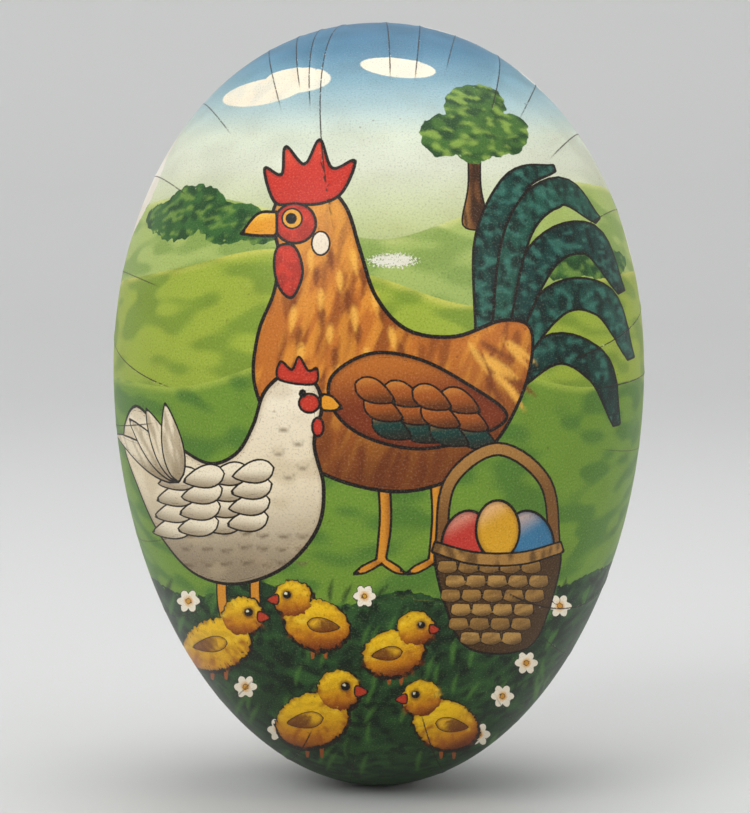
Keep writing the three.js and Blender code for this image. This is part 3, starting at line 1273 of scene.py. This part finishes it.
def printed_finish(name, plates, paper_colour):
    """Litho print on varnished paper: the plates over one another, then folds with painted shade in their
    creases, scuffs and the bare rim.
    """
    finish = Finish(name)
    flat = finish.attribute("flat", "Vector")
    fine = finish.noise(flat, 1.6, 3.0)
    broad = finish.noise(flat, 0.09, 4.0, 0.6)
    drift = (fine - 0.5) * 0.16
    colour = finish.attribute("ground", "Color")
    for number in range(plates):
        gap = finish.attribute(f"edge_{number}") + drift
        paint = finish.attribute(f"paint_{number}", "Color")
        outline = paint.other("Alpha")
        colour = finish.mix((0.5 - gap / 0.16).clamp(), colour, paint)
        colour = finish.mix(((outline - abs(gap)) / 0.12).clamp(), colour, INK)
    speckle = finish.noise(flat, 2.3, 3.0, 0.75)
    colour = finish.mix(speckle.ease(0.5, 0.75) * 0.14, colour, rgba(tint("#fff4dc")))
    colour = finish.mix(speckle.ease(0.5, 0.25) * 0.34, colour, rgba(tint("#2a211b")))
    colour = finish.mix(broad.ease(0.45, 0.75) * 0.10, colour, rgba(tint("#b58a4e")), "MULTIPLY")
    spots = finish.noise(flat, 0.55, 1.0)
    colour = finish.mix(spots.ease(0.74, 0.8) * 0.35, colour, rgba(tint("#8f6a3c")), "MULTIPLY")
    fold = abs(finish.attribute("fold") + (fine - 0.5) * 0.25)
    fold_depth = finish.attribute("fold_depth")
    broken = finish.noise(flat, 0.7, 2.0).ease(0.28, 0.42)
    # The crease along the middle of each fold: painted shade in the colour, and a groove in the bump.
    shaded_crease = ((0.21 - fold) / 0.1).clamp() * fold_depth.ease(0.0, 0.6) * broken
    worn_edge = finish.attribute("worn") + (finish.noise(flat, 1.1, 4.0, 0.65) - 0.5) * 2.4
    worn = (0.5 - worn_edge / 0.3).clamp()
    scuff_grain = finish.noise(flat, 2.3, 3.0, 0.7)
    scuffs = (finish.attribute("scuff") + scuff_grain * 1.6 - 1.62).ease(0.0, 0.06)
    chipped = ((0.42 - fold) / 0.2).clamp() * fold_depth * finish.noise(flat, 0.9, 3.0).ease(0.62, 0.7)
    bare = finish.mix(broad.ease(0.35, 0.7) * 0.5, paper_colour, rgba(tint("#d9cfbd")))
    colour = finish.mix(chipped * 0.8, colour, bare)
    colour = finish.mix(scuffs * 0.9, colour, bare)
    colour = finish.mix(worn, colour, bare)
    # Painted shade: a dark line in the crease of each fold.
    colour = finish.mix(shaded_crease * 0.85, colour, rgba(tint("#3a2c22")))
    colour = finish.node("ShaderNodeGamma", {}, {"Color": colour, "Gamma": 1.22})
    lift = finish.attribute("fold_rise")
    height = lift - shaded_crease * 0.5 + speckle * 0.05 + fine * 0.04 - worn * 0.35 - scuffs * 0.25
    rough = 0.34 + broad * 0.14 + worn * 0.35 + scuffs * 0.3
    return finish.done(
        Base_Color=colour,
        Roughness=rough,
        Normal=finish.bump(height, 0.12 * MM, 0.6),
        IOR=1.3,
        Coat_Weight=0.03,
        Coat_Roughness=0.3,
    )


def card_finish(name, colour, light, dark, fibre, rough):
    """Uncoated card or paper: fibres of two shades, patches and a felt surface."""
    finish = Finish(name)
    place = finish.place()
    patch = finish.noise(place, 0.12, 4.0, 0.6)
    strands = finish.noise(finish.scaled(place, (1.0, 1.0, 0.28)), fibre, 4.0, 0.7, 1.6)
    cross = finish.noise(finish.scaled(place, (0.3, 1.0, 1.0)), fibre * 1.3, 4.0, 0.7, 1.2)
    flecks = finish.noise(place, 1.4, 1.0)
    shade = finish.mix(strands.ease(0.5, 0.72) * 0.7, rgba(colour), rgba(light))
    shade = finish.mix(cross.ease(0.5, 0.28) * 0.6, shade, rgba(dark))
    shade = finish.mix(patch.ease(0.35, 0.75) * 0.35, shade, rgba(dark))
    shade = finish.mix(flecks.ease(0.72, 0.78) * 0.5, shade, rgba(tint("#5d4b39")))
    height = strands * 0.6 + cross * 0.5 + patch * 0.3
    return finish.done(
        Base_Color=shade,
        Roughness=rough + strands * 0.1,
        Normal=finish.bump(height, 0.12 * MM, 0.7),
        IOR=1.45,
    )


def lining_finish(name, colour):
    """Thin lining paper, cream and foxed, with its pleats pasted down and painted shade along them."""
    finish = Finish(name)
    flat = finish.attribute("flat", "Vector")
    fold = finish.attribute("fold")
    fold_depth = finish.attribute("fold_depth")
    fine = finish.noise(flat, 1.9, 3.0, 0.6)
    broad = finish.noise(flat, 0.05, 4.0, 0.6)
    paste = finish.noise(flat, 0.16, 3.0, 0.65, 0.8)
    spots = finish.noise(flat, 0.4, 2.0)
    shade = finish.mix(broad.ease(0.35, 0.7) * 0.6, rgba(colour), rgba(tint("#d8c9a6")))
    shade = finish.mix(paste.ease(0.55, 0.7) * 0.35, shade, rgba(tint("#b99f73")), "MULTIPLY")
    shade = finish.mix(fine.ease(0.45, 0.8) * 0.25, shade, rgba(tint("#a8977a")))
    shade = finish.mix(spots.ease(0.7, 0.78) * 0.5, shade, rgba(tint("#9a7442")))
    # Painted shade along the middle of each pasted-down pleat.
    pleat_shade = (0.5 - abs(fold + (fine - 0.5) * 0.4) / 0.5).clamp() * fold_depth
    shade = finish.mix(pleat_shade * 0.7, shade, rgba(tint("#8c7a5c")))
    height = finish.attribute("fold_rise") * 1.5 + paste * 0.5 + fine * 0.12
    return finish.done(
        Base_Color=shade,
        Roughness=0.72 + fine * 0.12,
        Normal=finish.bump(height, 0.2 * MM, 0.7),
        IOR=1.45,
    )


def stage_finish(name, low_colour, high_colour):
    """A plain pale sweep, going from the floor's colour to the wall's up the sweep, with painted shade
    darkening it towards +x.
    """
    finish = Finish(name)
    spot = finish.node("ShaderNodeTexCoord", {}, {}, "Object")
    height = finish.node("ShaderNodeSeparateXYZ", {}, {0: spot}, "Z")
    across = height.other("X")
    shade = finish.mix(height.ease(-0.1, 0.9), rgba(low_colour), rgba(high_colour))
    # Painted shade: the sweep is darkened towards +x, the side away from the key lamp.
    shade = finish.mix(across.ease(-0.2, 1.4) * 0.16, shade, rgba(tint("#8e8e8c")))
    return finish.done(Base_Color=shade, Roughness=0.7)


# ---------------------------------------------------------------- pieces


def sheet_room(flat, corner, size):
    """Where flat places lie on the unwrapped sheet."""
    return np.stack([corner[0] + (flat[:, 0] + 88) * size, corner[1] + (flat[:, 1] + 139) * size], axis=1)


def unwrap_shell(mesh, flat, outer):
    """Lays a half shell out: the outside large, the inside small beside it, the rim as a strip."""
    corners = np.empty(len(mesh.loops), int)
    mesh.loops.foreach_get("vertex_index", corners)
    starts = np.empty(len(mesh.polygons), int)
    mesh.polygons.foreach_get("loop_start", starts)
    totals = np.diff(np.append(starts, len(corners)))
    face = np.repeat(np.arange(len(starts)), totals)
    outside = outer[corners]
    count = np.bincount(face, outside, len(starts))[face]
    total = totals[face]
    room = sheet_room(flat[corners], (0.004, 0.006), 1 / 256)
    small = sheet_room(flat[corners], (0.71, 0.01), 0.4 / 256)
    turn = turn_of(flat[corners])
    first = turn[starts][face]
    strip = first + (turn - first + math.pi) % (2 * math.pi) - math.pi
    edge = np.stack([0.86 + strip * 0.036, np.where(outside, 0.62, 0.66)], axis=1)
    laid = np.where((count == total)[:, None], room, np.where((count == 0)[:, None], small, edge))
    layer = mesh.uv_layers.new(name="OFBake")
    layer.uv.foreach_set("vector", np.ascontiguousarray(laid, np.float32).ravel())


def rise_of(folds, flat, height):
    """How far the pleats stand up at flat places."""
    gap, depth = folds.read(flat)
    return height * depth * np.exp(-((gap / 0.9) ** 2))


def shell_attributes(mesh, skins, side, folds, printed):
    """Writes where each vertex lies on its sheet, and how it is folded. Gives the flat places."""
    flat = np.zeros((len(mesh.vertices), 2))
    for index, surface in skins:
        flat[index] = flat_place(-side * surface[:, 0] / MM, (surface[:, 2] - WIDEST) / MM)
    gap, depth = folds.read(flat)
    write_attribute(mesh, "flat", "FLOAT_VECTOR", np.hstack([flat, np.zeros((len(flat), 1))]))
    write_attribute(mesh, "fold", "FLOAT", gap)
    write_attribute(mesh, "fold_depth", "FLOAT", depth)
    write_attribute(mesh, "fold_rise", "FLOAT", depth * np.exp(-((gap / 0.7) ** 2)))
    outer = np.zeros(len(flat), bool)
    outer[skins[printed][0]] = True
    unwrap_shell(mesh, flat, outer)
    return flat, outer


def paper_piece(settings, side, name, body, node, draw, folds, worn_places, scuff):
    """One half's printed paper."""

    def wave(surface):
        flat = flat_place(-side * surface[:, 0] / MM, (surface[:, 2] - WIDEST) / MM)
        return -rise_of(folds, flat, settings.fold_height)

    bm, skins = half_shell(side, (0.0, settings.skin_detail, wave),
                           (settings.paper, settings.inside_detail - 1, None))
    piece = finish_piece(bm, name, body, [node])
    mesh = piece.data
    flat, _ = shell_attributes(mesh, skins, side, folds, 0)
    index, surface = skins[0]
    picture = Picture(flat[index])
    draw(picture, surface[:, 2] / MM)
    paper_colour = np.array(settings.bare_paper)
    ground = np.tile(paper_colour, (len(flat), 1))
    ground[index] = picture.ground
    write_attribute(mesh, "ground", "FLOAT_COLOR", np.hstack([ground, np.ones((len(flat), 1))]))
    for number, (edges, paints) in enumerate(zip(picture.edges, picture.paints)):
        edge, paint = np.full(len(flat), Picture.FAR), np.zeros((len(flat), 4))
        edge[index], paint[index] = edges, paints
        write_attribute(mesh, f"edge_{number}", "FLOAT", edge)
        write_attribute(mesh, f"paint_{number}", "FLOAT_COLOR", paint)
    write_attribute(mesh, "worn", "FLOAT", rim_distance(flat) - wear_width(flat, worn_places))
    centre, reach = seen_to_flat([scuff[:2]])[0], np.array(scuff[2:])
    write_attribute(mesh, "scuff", "FLOAT", 1 - ease(0.2, 1.0, np.hypot(*((flat - centre) / reach).T)))
    mesh.materials.append(printed_finish(name, len(picture.edges), rgba(settings.bare_paper)))
    return piece


def board_piece(settings, side, name, body, node):
    """One half's pressed card."""
    fineness = settings.inside_detail
    bm, _ = half_shell(side, (BOARD_DEPTH, fineness, None), (BOARD_DEPTH + settings.board, fineness, None))
    piece = finish_piece(bm, name, body, [node])
    piece.data.materials.append(
        card_finish(name, settings.board_colour, tint("#b9b1a2"), tint("#6f675b"), 0.9, 0.85)
    )


def lining_piece(settings, side, name, body, node, seed):
    """One half's lining paper, pleated where the sheet had to shrink."""
    folds = Folds(even_folds(34, seed))

    def wave(surface):
        flat = flat_place(-side * surface[:, 0] / MM, (surface[:, 2] - WIDEST) / MM)
        return rise_of(folds, flat, settings.fold_height * 1.6)

    bm, skins = half_shell(
        side,
        (LINING_DEPTH, settings.inside_detail, None),
        (LINING_DEPTH + settings.lining, settings.inside_detail + 1, wave),
    )
    piece = finish_piece(bm, name, body, [node])
    shell_attributes(piece.data, skins, side, folds, 1)
    piece.data.materials.append(lining_finish(name, settings.lining_colour))


def band_place(turn, across, depth):
    """Places on the egg at an angle round the parting plane and a distance across it, sunk by a depth."""
    reach = reach_to_outline(np.cos(turn), np.sin(turn))
    for _ in range(12):
        x, up = reach * np.cos(turn), reach * np.sin(turn)
        ring = np.hypot(x, across)
        reach = reach * reach_to_outline(ring, up) / np.hypot(ring, up)
    height = np.where(up > 0, LENGTH - WIDEST, WIDEST)
    fullness = np.where(up > 0, BLUNT_FULLNESS, SMALL_FULLNESS)
    along = np.sign(up) * np.clip(np.abs(up) / height, 0, 1) ** (fullness / 2)
    share = np.sqrt(1 - along**2) / np.maximum(ring, 1e-9)
    return on_egg(np.stack([x * share, across * share, along], axis=1), depth)


def band(first, last, low, high, depth, thickness, steps, rows):
    """A strip that lies against the egg's inside, between two angles and two distances across."""
    bm = bmesh.new()
    bmesh.ops.create_grid(bm, x_segments=steps, y_segments=rows, size=0.5)
    grid = corners_of(bm.verts)
    turn = first + (grid[:, 0] + 0.5) * (last - first)
    across = (low + (grid[:, 1] + 0.5) * (high - low)) * RADIUS / (RADIUS - depth)
    move_to(bm.verts, band_place(turn, across, depth))
    bmesh.ops.recalc_face_normals(bm, faces=bm.faces[:])
    outward = sum(face.normal.dot(face.calc_center_median() - Vector((0, 0, WIDEST))) for face in bm.faces)
    if outward < 0:
        bmesh.ops.reverse_faces(bm, faces=bm.faces[:])
    bmesh.ops.solidify(bm, geom=bm.faces[:], thickness=thickness)
    bmesh.ops.recalc_face_normals(bm, faces=bm.faces[:])
    corners = [edge for edge in bm.edges if len(edge.link_faces) == 2 and edge.calc_face_angle() > 1.0]
    bmesh.ops.bevel(
        bm, geom=corners, offset=thickness * 0.16, segments=2, profile=0.5, affect="EDGES", material=-1
    )
    return bm


# ---------------------------------------------------------------- operators


class EGG_OT_papers(bpy.types.Operator):
    """Adds the printed paper of the front and the back half"""

    bl_idname = "egg.papers"
    bl_label = "Printed papers"

    def execute(self, context):
        settings = context.scene.egg_settings
        paper_piece(
            settings, FRONT, "front_printed_sheet", "front_half", "front_print",
            print_front,
            Folds(FRONT_FOLDS), FRONT_WORN, FRONT_SCUFF
        )
        paper_piece(
            settings, BACK, "back_printed_sheet", "back_half", "back_print", print_back,
            Folds(even_folds(BACK_FOLDS, BACK_SEED)), BACK_WORN, BACK_SCUFF
        )
        return {"FINISHED"}


class EGG_OT_boards(bpy.types.Operator):
    """Adds the pressed card under the papers"""

    bl_idname = "egg.boards"
    bl_label = "Pressed boards"

    def execute(self, context):
        settings = context.scene.egg_settings
        board_piece(settings, FRONT, "front_board", "front_half", "front_shell")
        board_piece(settings, BACK, "back_board", "back_half", "back_shell")
        return {"FINISHED"}


class EGG_OT_linings(bpy.types.Operator):
    """Adds the lining paper inside both halves"""

    bl_idname = "egg.linings"
    bl_label = "Linings"

    def execute(self, context):
        settings = context.scene.egg_settings
        lining_piece(settings, FRONT, "front_lining_paper", "front_half", "front_lining", 8)
        lining_piece(settings, BACK, "back_lining_paper", "back_half", "back_lining", 9)
        return {"FINISHED"}


class EGG_OT_collar(bpy.types.Operator):
    """Adds the collar that joins the halves"""

    bl_idname = "egg.collar"
    bl_label = "Collar"

    def execute(self, context):
        settings = context.scene.egg_settings
        gap = settings.collar_gap / 2 / RADIUS
        bm = band(gap, 2 * math.pi - gap, COLLAR_LOW.y, COLLAR_HIGH.y, COLLAR_DEPTH, settings.collar, 180, 8)
        piece = finish_piece(bm, "collar_strip", "back_half", ["collar"])
        piece.data.materials.append(
            card_finish("collar_strip", settings.collar_colour, tint("#d9bd86"), tint("#8f744a"), 0.8, 0.8)
        )
        return {"FINISHED"}


class EGG_OT_tape(bpy.types.Operator):
    """Adds the gummed tape over the collar's joint"""

    bl_idname = "egg.tape"
    bl_label = "Gummed tape"

    def execute(self, context):
        settings = context.scene.egg_settings
        reach = (TAPE_HIGH.z - TAPE_LOW.z) / 2 / RADIUS
        bm = band(-reach, reach, TAPE_LOW.y, TAPE_HIGH.y, TAPE_DEPTH, settings.tape, 16, 6)
        piece = finish_piece(bm, "collar_tape", "back_half", ["collar_splice"])
        piece.data.materials.append(
            card_finish("collar_tape", settings.tape_colour, tint("#c99a63"), tint("#7a5230"), 1.2, 0.5)
        )
        return {"FINISHED"}


class EGG_OT_stage(bpy.types.Operator):
    """Adds the sweep the egg stands on, the lamps and the camera"""

    bl_idname = "egg.stage"
    bl_label = "Stage, lamps and camera"

    def execute(self, context):
        scene = context.scene
        settings = scene.egg_settings
        bm = bmesh.new()
        bmesh.ops.create_circle(bm, cap_ends=True, segments=96, radius=1.0)
        for radius, height in SWEEP:
            edges = [edge for edge in bm.edges if edge.is_boundary]
            grown = bmesh.ops.extrude_edge_only(bm, edges=edges)["geom"]
            ring = [item for item in grown if isinstance(item, bmesh.types.BMVert)]
            size = radius / math.hypot(*ring[0].co.xy)
            bmesh.ops.scale(bm, vec=(size, size, 1), verts=ring)
            bmesh.ops.translate(bm, vec=(0, 0, height - ring[0].co.z), verts=ring)
        bmesh.ops.recalc_face_normals(bm, faces=bm.faces[:])
        if bm.faces[:][0].normal.z < 0:
            bmesh.ops.reverse_faces(bm, faces=bm.faces[:])
        mesh = bpy.data.meshes.new("sweep")
        bm.to_mesh(mesh)
        bm.free()
        mesh.shade_smooth()
        mesh.materials.append(stage_finish("sweep", settings.floor_colour, settings.wall_colour))
        sweep = bpy.data.objects.new("sweep", mesh)
        scene.collection.objects.link(sweep)

        middle = Vector((0, 0, LENGTH / 2))
        for name, place, size, power in LAMPS:
            light = bpy.data.lights.new(name, "AREA")
            light.shape = "DISK"
            light.size = size
            light.energy = power * settings.lamp_power
            lamp = bpy.data.objects.new(name, light)
            lamp.location = place
            lamp.rotation_euler = (middle - lamp.location).to_track_quat("-Z", "Y").to_euler()
            scene.collection.objects.link(lamp)

        world = bpy.data.worlds.new("pale_room")
        scene.world = world
        world.use_nodes = True
        shade = world.node_tree.nodes["Background"]
        shade.inputs["Color"].default_value = rgba(settings.room_colour)
        shade.inputs["Strength"].default_value = settings.room_light

        lens = bpy.data.cameras.new("camera")
        lens.sensor_width = 36
        lens.lens = 36 * VIEW_DISTANCE / VIEW_WIDTH
        lens.clip_start = 0.01
        camera = bpy.data.objects.new("camera", lens)
        back = Vector((0, -math.cos(VIEW_TILT), math.sin(VIEW_TILT)))
        camera.location = VIEW_TARGET + back * VIEW_DISTANCE
        camera.rotation_euler = (-back).to_track_quat("-Z", "Y").to_euler()
        scene.collection.objects.link(camera)
        scene.camera = camera
        scene.view_settings.view_transform = "Standard"
        return {"FINISHED"}


SWEEP = ((1.2, 0.004), (1.45, 0.03), (1.7, 0.12), (1.88, 0.28), (1.98, 0.5), (2.0, 0.8), (2.0, 1.6),
         (2.0, 2.2))
LAMPS = (
    ("key_lamp", (-0.75, -1.0, 0.95), 0.9, 8.4),
    ("fill_lamp", (1.0, -0.9, 0.5), 1.1, 4.0),
    ("top_lamp", (0.1, 0.2, 1.3), 1.0, 5.0),
)


class EGG_PT_panel(bpy.types.Panel):
    """Lists what the egg is made of"""

    bl_idname = "EGG_PT_panel"
    bl_label = "Printed card egg"
    bl_space_type = "VIEW_3D"
    bl_region_type = "UI"
    bl_category = "Egg"

    def draw(self, context):
        settings = context.scene.egg_settings
        for name in settings.bl_rna.properties.keys():
            if name not in ("rna_type", "name"):
                self.layout.prop(settings, name)
        for operator in OPERATORS:
            self.layout.operator(operator.bl_idname)


OPERATORS = (EGG_OT_papers, EGG_OT_boards, EGG_OT_linings, EGG_OT_collar, EGG_OT_tape, EGG_OT_stage)
CLASSES = (EggSettings, *OPERATORS, EGG_PT_panel)


def register():
    for one in CLASSES:
        bpy.utils.register_class(one)
    bpy.types.Scene.egg_settings = PointerProperty(type=EggSettings)


def unregister():
    del bpy.types.Scene.egg_settings
    for one in reversed(CLASSES):
        bpy.utils.unregister_class(one)


def main():
    register()
    bpy.ops.egg.papers()
    bpy.ops.egg.boards()
    bpy.ops.egg.linings()
    bpy.ops.egg.collar()
    bpy.ops.egg.tape()
    bpy.ops.egg.stage()


if __name__ == "__main__":
    main()
